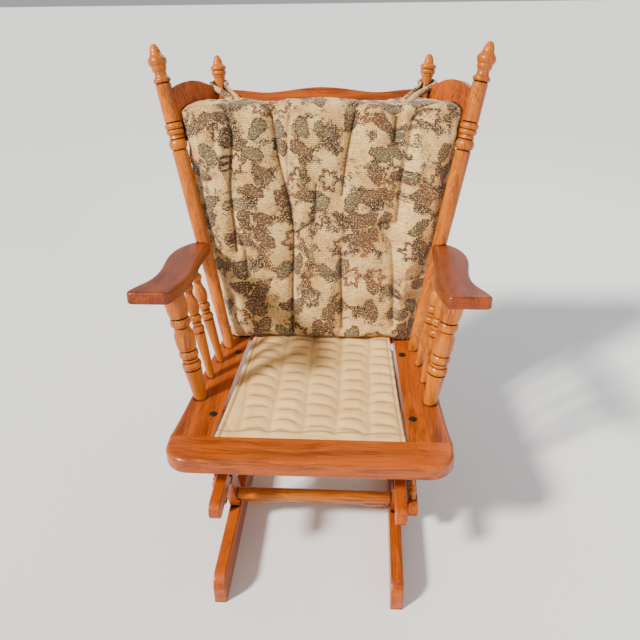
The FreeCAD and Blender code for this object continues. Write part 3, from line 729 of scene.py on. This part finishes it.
def tie_rings(mesh, line, axis, wide, thick):
    """Adds a ring of points round each point of the line. Gives the rings and their cloth places."""
    rings, places, along = [], [], 0.0
    for index, point in enumerate(line):
        forward = (line[min(index + 1, len(line) - 1)] - line[max(index - 1, 0)]).normalized()
        out = point - axis(point.z)
        out -= forward * out.dot(forward)
        out.normalize()
        flat = forward.cross(out)
        along += (point - line[index - 1]).length if index else 0.0
        swell = 1 + 0.10 * noise.noise(Vector((along * 90, 3.1, 0)))
        rings.append([])
        for n in range(RING):
            a = 2 * math.pi * n / RING
            across = math.copysign(abs(math.cos(a)) ** 0.7, math.cos(a)) * wide / 2 * swell
            lump = 1 + 0.25 * noise.noise(Vector((along * 160, n * 0.7, 1.0)))
            lift = math.sin(a) * thick / 2 * lump
            rings[-1].append(mesh.verts.new(point + flat * across + out * lift))
            places.append((along, across * 1.6 + 0.01 * math.sin(a), 0.0))
    return rings, places


def sweep_tie(name, line, axis, wide, thick):
    """A flattened tube of cloth along a line. Its flat side faces the post's axis."""
    mesh = bmesh.new()
    rings, places = tie_rings(mesh, line, axis, wide, thick)
    for low, high in zip(rings, rings[1:]):
        for n in range(RING):
            mesh.faces.new((low[n], low[(n + 1) % RING], high[(n + 1) % RING], high[n]))
    mesh.faces.new(list(reversed(rings[0])))
    mesh.faces.new(rings[-1])
    bmesh.ops.recalc_face_normals(mesh, faces=mesh.faces)
    data = bpy.data.meshes.new(name)
    mesh.to_mesh(data)
    mesh.free()
    layer = data.attributes.new("cloth", "FLOAT_VECTOR", "POINT")
    for index, place_on_cloth in enumerate(places):
        layer.data[index].vector = place_on_cloth
    piece = bpy.data.objects.new(name, data)
    scene.collection.objects.link(piece)
    return piece


print("a tie has", RING, "points round its section")

# %% [markdown]
# ## Cushion ties: round the posts
# The tie is 15 mm wide and 9 mm thick. It goes round the post at the height of its neck and comes back
# to the knot at the top seam of the cushion, its two ends a little apart.

# %% Cushion ties: round the posts
TIE_WIDE, TIE_THICK, NECK_HEIGHT, LOOP_RADIUS, LOOP_SLANT = 0.0150, 0.0090, 0.962, 0.0190, 0.004
KNOT = (0.212, 0.316, 0.936)
LOOP_TURN = (205, 160, 115, 65, 20, -25)


def tie_corners(side, neck):
    """The corners of one tie's path: up from the knot, round the neck of the post, and back."""
    knot = Vector((side * KNOT[0], KNOT[1], KNOT[2]))
    loop = [neck + Vector((LOOP_RADIUS * math.cos(a), LOOP_RADIUS * math.sin(a), LOOP_SLANT * math.sin(a)))
            for a in (math.radians(d) for d in LOOP_TURN)]
    inner, outer = Vector((-side * 0.006, 0, 0)), Vector((side * 0.010, -0.004, 0))
    if side > 0:
        inner, outer = outer, inner
    return [knot + outer + Vector((0, 0.0, -0.016)), knot + outer + Vector((0, 0.004, 0.004))] + loop + \
        [knot + inner + Vector((0, 0.004, 0.006)), knot + inner + Vector((0, -0.002, -0.016))]


def make_tie(side_word, side):
    foot, tip, _ = posts[2 if side < 0 else 3]

    def axis(z):
        return foot.lerp(tip, (z - foot.z) / (tip.z - foot.z))

    line = smooth_path(tie_corners(side, axis(NECK_HEIGHT)), 8)
    piece = sweep_tie("cushion_tie_cloth_" + side_word, line, axis, TIE_WIDE, TIE_THICK)
    only(piece)
    bpy.ops.object.shade_smooth()
    piece.data.materials.append(tapestry_cloth)
    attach(piece, "seat")
    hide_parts("cushion_tie_" + side_word)
    return piece


ties = [make_tie(word, side) for word, side in (("left", -1), ("right", 1))]
print("ties", [triangles(piece) for piece in ties], "triangles")

# %% [markdown]
# ## Deck canvas: outline and springs
# Under the sitter a sheet of beige cotton canvas is stretched from the front board to the rear board
# over five zigzag springs. Its sides are hemmed and pull in a little between the ends.

# %% Deck canvas: outline and springs
deck_low, deck_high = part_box("deck_fabric")
springs = ["spring_%d" % (n + 1) for n in range(5)]
spring_middles = [(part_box(name)[0][0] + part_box(name)[1][0]) / 2 for name in springs]
HALF_FRONT, HALF_REAR, HEM = 0.2085, 0.1815, 0.007
CANVAS = 0.0012


def canvas_edge(share):
    """Half width of the canvas at a share of the way back, pulled in between its ends."""
    return HALF_FRONT + (HALF_REAR - HALF_FRONT) * share - 0.0025 * math.sin(math.pi * share)


print("springs at x", [round(x, 3) for x in spring_middles])

# %% [markdown]
# ## Deck canvas: bumps over the springs
# The springs show through as rows of soft bumps, about 7 mm high and 40 mm long, each row a little out
# of step with the next. A flat plane with a bump texture would not catch the light at its edges, so the
# sheet is a fine grid whose height is worked out from where the springs are.

# %% Deck canvas: bumps over the springs
BUMP_HIGH, BUMP_LONG, BUMP_HALF = 0.0066, 0.040, 0.030


def over_springs(x, y, back, free):
    """Height the springs push the canvas up by, and how deep in a valley between bumps it is."""
    height, valley = 0.0, 0.0
    sway = 0.006 * noise.noise(Vector((x * 9, y * 9, 5.0)))
    for n, middle in enumerate(spring_middles):
        near = math.exp(-((x - middle - sway) / (BUMP_HALF - 0.002 * (n % 2))) ** 4)
        off = (x - middle) / BUMP_HALF
        loop = (back + 3 * sway) / BUMP_LONG + 0.37 * n + 0.09 * off * off + 0.08 * off
        puff = abs(math.sin(math.pi * loop)) ** 0.7
        fullness = 1 + 0.5 * noise.noise(Vector((x * 14, y * 26, 2.0 + n)))
        height += free * near * fullness * BUMP_HIGH * puff
        # the valley value is used as painted shade in the canvas colour
        valley = max(valley, free * near * max(0.0, 1 - puff * 1.3))
        valley = max(valley, 0.4 * free * math.exp(-((abs(x - middle - sway) - 0.0365) / 0.006) ** 2))
    return height, valley


print("bumps about", round(BUMP_HIGH * 1000, 1), "mm high")

# %% [markdown]
# ## Deck canvas: hems and creases
# The hems at the sides and the front are double cloth, with a dip where they are stitched. Two short
# creases are pulled at the front. How deep a point lies in a fold is kept too, for the painted shade
# there.

# %% Deck canvas: hems and creases
FLAT_LIFT, FREE_AFTER = 0.0004, 0.035
# each crease: its two ends (x, y), depth, width
CREASES = [((-0.195, -0.185), (-0.175, -0.225), 0.0018, 0.005),
           ((0.155, -0.120), (0.180, -0.085), 0.0016, 0.006)]


def canvas_height(x, y, half):
    """Height of the canvas over the springs in metres, and how deep in a fold it is from 0 to 1."""
    back, from_edge = y - deck_low[1], half - abs(x)
    free = min(1.0, back / FREE_AFTER)
    height, valley = over_springs(x, y, back, free)
    height += FLAT_LIFT
    height += 0.0016 * math.exp(-((from_edge - HEM / 2) / (HEM / 2.2)) ** 4)
    height -= 0.0008 * math.exp(-((from_edge - HEM - 0.006) / 0.006) ** 2)
    height += 0.0012 * math.exp(-((back - 0.012) / 0.012) ** 4)
    height -= 0.0006 * math.exp(-((back - 0.027) / 0.004) ** 2)
    for start, end, depth, width in CREASES:
        height -= depth * math.exp(-(off_line(x, y, [start, end])[0] / width) ** 2)
    height += 0.0004 * noise.noise(Vector((x * 30, y * 14, 0.3)))
    valley = max(valley, 0.9 * math.exp(-((from_edge - HEM - 0.003) / 0.0025) ** 2),
                 0.8 * math.exp(-((back - 0.027) / 0.0035) ** 2))
    return height, valley


print("canvas height in the middle", round(canvas_height(0.0, 0.0, HALF_FRONT)[0] * 1000, 2), "mm")

# %% [markdown]
# ## Deck canvas: the sheet
# A grid of 150 by 140 faces is fine enough for the bumps. Then the sheet gets the thickness of the
# cloth, downwards, so that its top stays where the heights put it.

# %% Deck canvas: the sheet
ROWS, COLUMNS, END_GAP, OVER_SPRINGS = 150, 140, 0.0004, 0.0002
sheet_mesh = bmesh.new()
grid, fold_shade_values = [], []
for i in range(ROWS + 1):
    share = i / ROWS
    y = deck_low[1] + END_GAP + (deck_high[1] - deck_low[1] - 2 * END_GAP) * share
    half = canvas_edge(share)
    grid.append([])
    for j in range(COLUMNS + 1):
        x = half * (2 * j / COLUMNS - 1)
        height, valley = canvas_height(x, y, half)
        grid[-1].append(sheet_mesh.verts.new((x, y, deck_low[2] + OVER_SPRINGS + height)))
        fold_shade_values.append(valley)
for low_row, high_row in zip(grid, grid[1:]):
    for j in range(COLUMNS):
        sheet_mesh.faces.new((low_row[j], low_row[j + 1], high_row[j + 1], high_row[j]))
deck_data = bpy.data.meshes.new("deck_canvas")
sheet_mesh.to_mesh(deck_data)
sheet_mesh.free()
fold_shade_layer = deck_data.attributes.new("fold", "FLOAT", "POINT")
fold_shade_layer.data.foreach_set("value", fold_shade_values)
deck = bpy.data.objects.new("deck_canvas", deck_data)
scene.collection.objects.link(deck)
apply_modifier(deck, "SOLIDIFY", thickness=CANVAS, offset=-1.0)
bpy.ops.object.shade_smooth()
print("canvas sheet", triangles(deck), "triangles")

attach(deck, "seat")
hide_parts("deck_fabric")

# %% [markdown]
# ## Cotton canvas
# Unbleached cotton in a plain weave. Its threads are about 0.6 mm apart, too fine to show, so they are
# drawn 1.5 mm apart. Two waves across each other lift the threads, a stretched noise makes thicker
# slubs, and a broad noise gives the slightly soiled, uneven beige of a used seat.

# %% Cotton canvas
THREAD_MM = 1.5
canvas_cloth, tree, shader = start_finish(
    "cotton canvas", Roughness=0.9, Sheen_Weight=0.15, Specular_IOR_Level=0.25)
place = add(tree, "TexCoord").outputs["Object"]
threads = [add(tree, "TexWave", {"Vector": place, "Scale": 1000 / THREAD_MM / FULL_TURN,
                                 "Distortion": 0.6}, bands_direction=way).outputs["Fac"]
           for way in ("X", "Y")]
weave = add(tree, "Math", {0: threads[0], 1: threads[1]}, operation="ADD").outputs[0]
slubs = add(tree, "Mapping", {"Vector": place, "Scale": (60, 900, 60)}).outputs[0]
slubs = add(tree, "TexNoise", {"Vector": slubs, "Scale": 1.0, "Detail": 2.0}).outputs["Fac"]
soil = add(tree, "TexNoise", {"Vector": place, "Scale": 9.0, "Detail": 3.0}).outputs["Fac"]
fold = add(tree, "Attribute", attribute_name="fold").outputs["Fac"]
soiled = add(tree, "MapRange", {0: soil, 1: 0.3, 2: 0.7}, **SMOOTH).outputs[0]
colour = add(tree, "Mix", {0: soiled, 6: linear("F8CE86"), 7: linear("ECBC74")}, **COLOUR).outputs[2]
thick = add(tree, "MapRange", {0: slubs, 1: 0.5, 2: 0.8, 4: 0.35}, **SMOOTH).outputs[0]
colour = add(tree, "Mix", {0: thick, 6: colour, 7: linear("CC9850")}, **COLOUR).outputs[2]
# painted shade: the fold attribute darkens the valleys between bumps, the hem stitching and the creases
dark = add(tree, "MapRange", {0: fold, 1: 0.0, 2: 0.9, 4: 0.75}, **SMOOTH).outputs[0]
colour = add(tree, "Mix", {0: dark, 6: colour, 7: linear("8A6430")}, **COLOUR).outputs[2]
tree.links.new(colour, shader.inputs["Base Color"])
lift = add(tree, "Math", {0: slubs, 1: 0.8, 2: weave}, operation="MULTIPLY_ADD").outputs[0]
bump = add(tree, "Bump", {"Height": lift, "Strength": 0.35, "Distance": 0.0004})
tree.links.new(bump.outputs[0], shader.inputs["Normal"])
deck.data.materials.append(canvas_cloth)
print("canvas finish", canvas_cloth.name)

# %% [markdown]
# ## Floor
# A pale floor that runs out of view, so the chair stands on something and its shadow shows where.

# %% Floor
bpy.ops.object.select_all(action="DESELECT")
bpy.ops.mesh.primitive_plane_add(size=24, location=(0, 0, 0))
floor = bpy.context.object
floor.name = "floor"
floor_paint, tree, shader = start_finish("pale studio floor", Roughness=0.9)
place = add(tree, "TexCoord").outputs["Object"]
cloudy = add(tree, "TexNoise", {"Vector": place, "Scale": 1.3, "Detail": 2.0}).outputs["Fac"]
paint = add(tree, "Mix", {0: cloudy, 6: linear("EDEDED"), 7: linear("F3F3F2")}, **COLOUR).outputs[2]
tree.links.new(paint, shader.inputs["Base Color"])
floor.data.materials.append(floor_paint)
print("floor", floor.name, "with", floor_paint.name)

# %% [markdown]
# ## Light
# One broad sun high on the left in front, two large weak lights and a pale sky. A sun 8 degrees across
# gives soft edges to the shadows, and the large lights put long, quiet highlights on the lacquered
# posts.

# %% Light
SUN_POWER, SUN_WIDE, SUN_WAY, SKY_POWER = 6.2, math.radians(8), (0.62, 0.50, -0.66), 0.44


def soft_light(name, size, power, spot, target, colour):
    """A square area light that looks at a point."""
    lamp = bpy.data.lights.new(name, "AREA")
    lamp.size, lamp.energy, lamp.color = size, power, colour
    made = bpy.data.objects.new(name, lamp)
    scene.collection.objects.link(made)
    made.location = spot
    made.rotation_euler = (Vector(target) - Vector(spot)).to_track_quat("-Z", "Y").to_euler()


key = bpy.data.objects.new("key", bpy.data.lights.new("key", "SUN"))
scene.collection.objects.link(key)
key.data.energy, key.data.angle, key.data.color = SUN_POWER, SUN_WIDE, (1.0, 0.97, 0.92)
key.rotation_euler = Vector(SUN_WAY).to_track_quat("-Z", "Y").to_euler()
soft_light("fill", 2.4, 22, (2.2, -1.7, 1.7), (0, 0, 0.5), (0.95, 0.97, 1.0))
soft_light("rim", 1.6, 22, (0.6, 2.2, 2.2), (0, 0, 0.6), (1.0, 1.0, 1.0))
sky = bpy.data.worlds.new("studio")
scene.world = sky
sky.use_nodes = True
sky.node_tree.nodes["Background"].inputs["Color"].default_value = (1.0, 1.0, 1.0, 1.0)
sky.node_tree.nodes["Background"].inputs["Strength"].default_value = SKY_POWER
